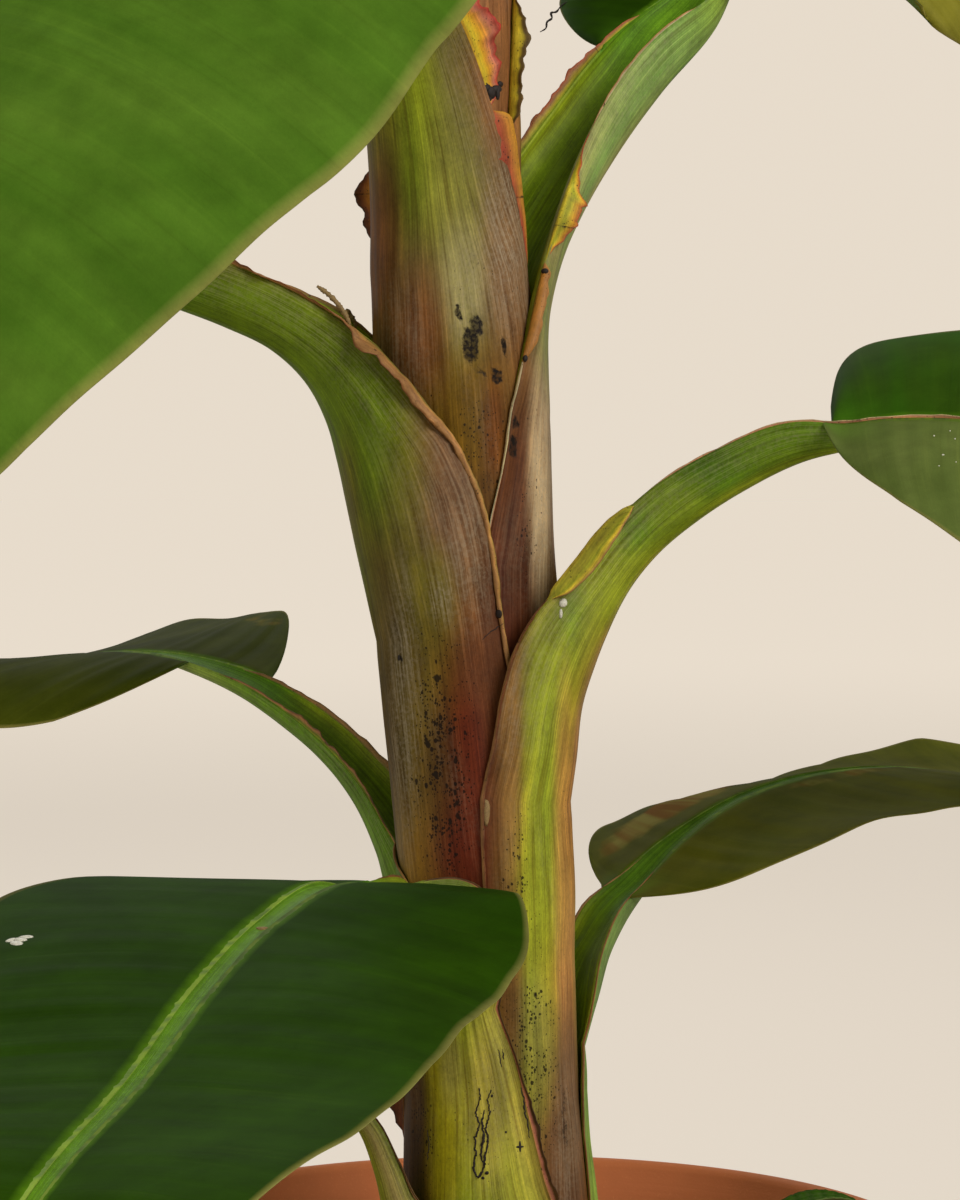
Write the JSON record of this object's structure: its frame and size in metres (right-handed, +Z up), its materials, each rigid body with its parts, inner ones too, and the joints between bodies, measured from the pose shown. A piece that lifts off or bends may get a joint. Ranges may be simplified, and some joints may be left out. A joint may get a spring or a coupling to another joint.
{
  "type": "potted banana plant",
  "caption": "Young banana plant: wrapped pseudostem, gutter-shaped petioles and broad arching blades, in a round tapered clay-coloured pot.",
  "frame": {"origin": "centre of the pot's flat underside, on the floor", "axes": "+Z up along the plant's height; -Y is the side the picture looks from; +X to the right in the picture"},
  "size_m": [0.7708, 0.7702, 0.945],
  "materials": {
    "pot_clay": "matte, slightly grainy",
    "potting_soil": "rough, crumbly",
    "stem_sheath": "satin, streaked and speckled",
    "petiole_green": "satin",
    "blade_green": "satin, waxy",
    "rolled_green": "satin"
  },
  "bodies": {
    "root": {"blade_lower_front_base": "blade_green", "blade_lower_front_tip": "blade_green", "blade_lower_left_base": "blade_green", "blade_lower_left_tip": "blade_green", "blade_lower_right_base": "blade_green", "blade_lower_right_tip": "blade_green", "blade_lowest_left_whole": "blade_green", "blade_middle_left_base": "blade_green", "blade_middle_left_tip": "blade_green", "blade_middle_right_base": "blade_green", "blade_middle_right_tip": "blade_green", "blade_top_back_base": "blade_green", "blade_top_back_tip": "blade_green", "blade_top_front_base": "blade_green", "blade_top_front_tip": "blade_green", "blade_upper_front_base": "blade_green", "blade_upper_front_tip": "blade_green", "blade_upper_right_base": "blade_green", "blade_upper_right_tip": "blade_green", "petiole_lower_front": "petiole_green", "petiole_lower_left": "petiole_green", "petiole_lower_right": "petiole_green", "petiole_lowest_left": "petiole_green", "petiole_middle_left": "petiole_green", "petiole_middle_right": "petiole_green", "petiole_top_back": "petiole_green", "petiole_top_front": "petiole_green", "petiole_upper_front": "petiole_green", "petiole_upper_right": "petiole_green", "pot": "pot_clay", "rolled_leaf": "rolled_green", "shoot_leaf_left": "blade_green", "shoot_leaf_right": "blade_green", "shoot_stem": "rolled_green", "soil": "potting_soil", "stem": "stem_sheath"}
  },
  "joints": []
}
